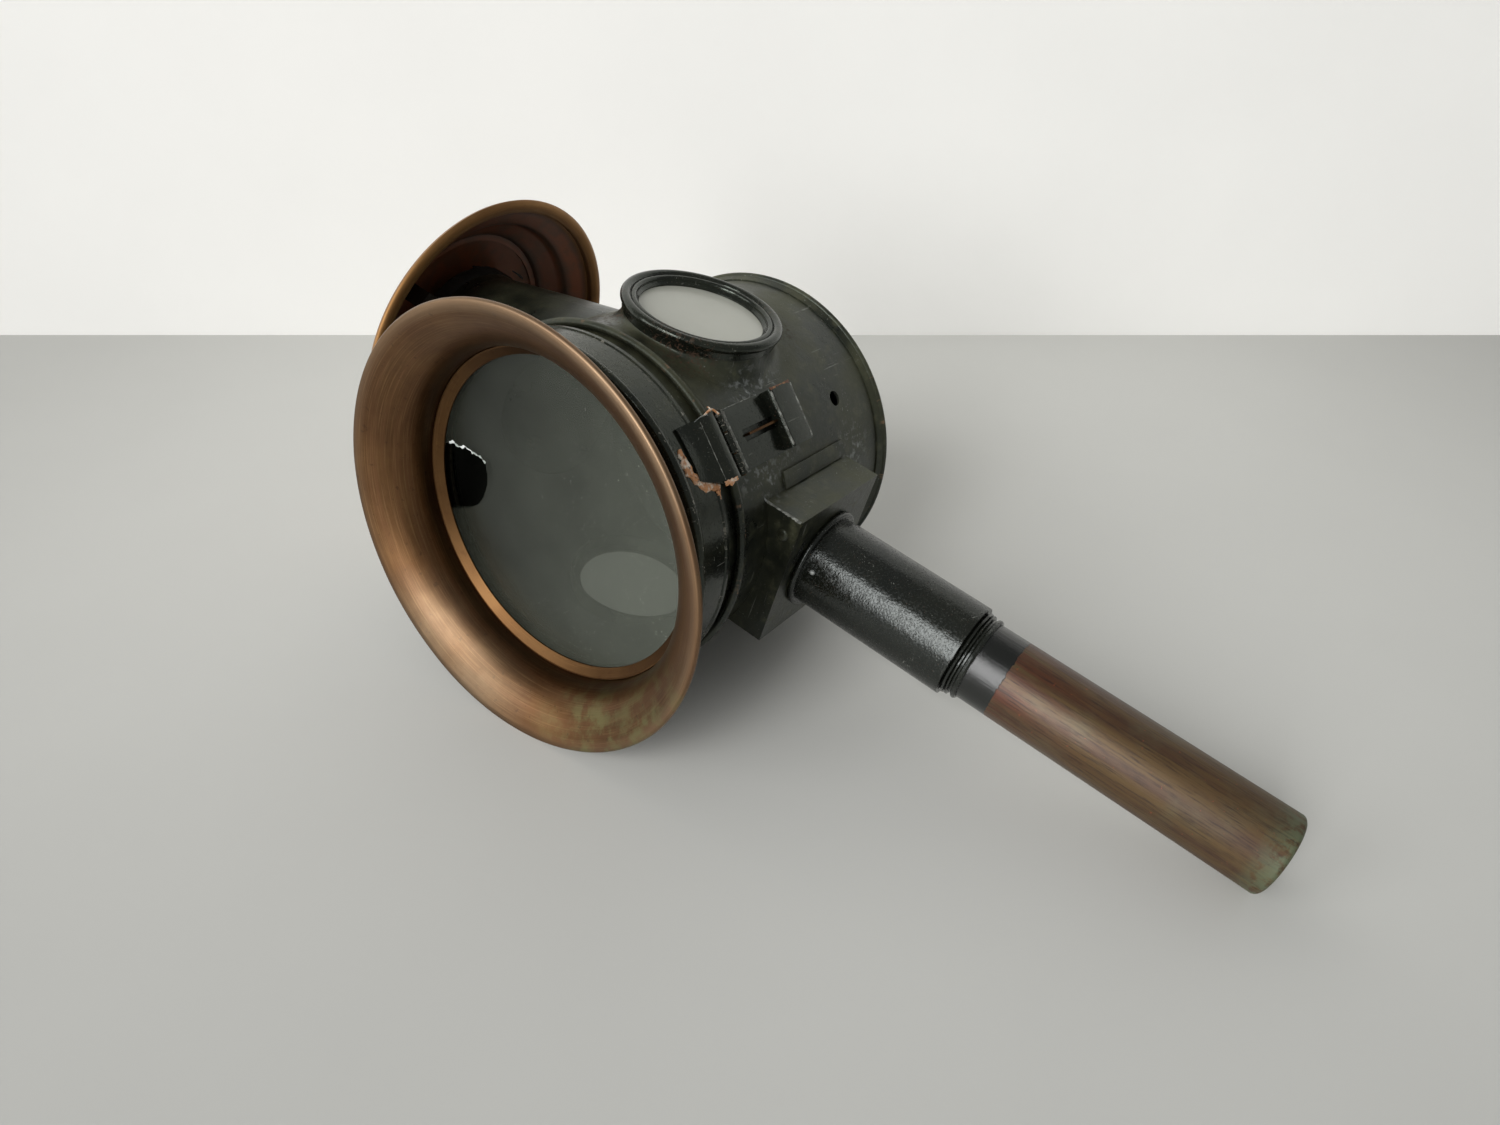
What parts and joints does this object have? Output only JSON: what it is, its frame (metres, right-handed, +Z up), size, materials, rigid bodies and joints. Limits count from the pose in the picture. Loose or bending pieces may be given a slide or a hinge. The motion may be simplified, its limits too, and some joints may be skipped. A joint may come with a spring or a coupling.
{
  "type": "carriage lamp",
  "caption": "Round-bodied candle carriage lamp lying on its side: flared copper bezel, hinged glazed front, side windows, capped chimney and a long stem.",
  "frame": {"origin": "centre of the bounding box, on the ground that the lamp lies on", "axes": "the stem points along +X and dips to the ground, the front glass faces -Y, the tall side window faces up along +Z"},
  "size_m": [0.3655, 0.156, 0.1528],
  "materials": {
    "japan": "black japanned, worn satin",
    "gloss_japan": "black japanned, glossy",
    "copper": "aged brown copper, satin",
    "bare_tube": "aged copper under worn black paint",
    "brass": "dull aged brass",
    "dusty_glass": "dusty",
    "side_glass": "thinly dusty",
    "seat": "dull",
    "silver": "tarnished silvering",
    "steel": "dull",
    "wax": "wax",
    "wick": "charred cotton"
  },
  "bodies": {
    "lamp_body": {"drum_shell": "japan", "front_hoop": "japan", "back_plate": "japan", "rear_rim": "japan", "tall_window_neck": "gloss_japan", "tall_window_saddle": "gloss_japan", "tall_window_seat": "seat", "tall_window_glass": "side_glass", "tall_window_ring": "gloss_japan", "low_window_neck": "gloss_japan", "low_window_seat": "seat", "low_window_glass": "side_glass", "low_window_ring": "gloss_japan", "chimney_neck": "japan", "cap_legs": "brass", "cap_skirt": "copper", "cap_crown": "copper", "stem_box": "japan", "box_flange_right": "japan", "box_flange_left": "japan", "stem_root_ring": "gloss_japan", "socket_tube": "gloss_japan", "upper_guide": "brass", "socket_collar": "gloss_japan", "reflector": "silver", "reflector_rivet": "steel", "catch_blade": "brass", "drum_hinge_leaf": "gloss_japan", "door_hinge_pin": "brass"},
    "front_door": {"door_ring": "gloss_japan", "bezel": "copper", "glass_ring": "brass", "front_glass": "dusty_glass", "glass_seat": "seat", "door_hinge_leaf": "gloss_japan", "hasp_leaf": "gloss_japan", "hasp_pin": "brass"},
    "hasp": {"hasp_plate": "gloss_japan", "hasp_grip": "gloss_japan"},
    "candle_tube": {"candle_tube": "bare_tube", "tube_end_cap": "bare_tube", "candle_nozzle": "brass", "candle_spring": "steel"},
    "candle": {"candle": "wax", "wick": "wick", "spring_follower": "brass"}
  },
  "joints": [
    {"name": "front_door_hinge", "type": "hinge", "parent": "lamp_body", "child": "front_door", "pos_m": [-0.11036, -0.03608, 0.03461], "axis": [0.575, -0.0686, -0.8153], "range_deg": [0, 85]},
    {"name": "hasp_hinge", "type": "hinge", "parent": "front_door", "child": "hasp", "pos_m": [-0.00462, -0.01875, 0.10772], "axis": [0.575, -0.0686, -0.8153], "range_deg": [0, 120]},
    {"name": "candle_tube_slide", "type": "slide", "parent": "lamp_body", "child": "candle_tube", "axis": [0.9745, 0, -0.2242], "range_m": [0, 0.115]},
    {"name": "candle_push", "type": "slide", "parent": "candle_tube", "child": "candle", "axis": [0.9745, 0, -0.2242], "range_m": [0, 0.02], "stiffness_N_per_m": 60, "springref_m": -0.05, "deforming": ["candle_spring"]}
  ]
}
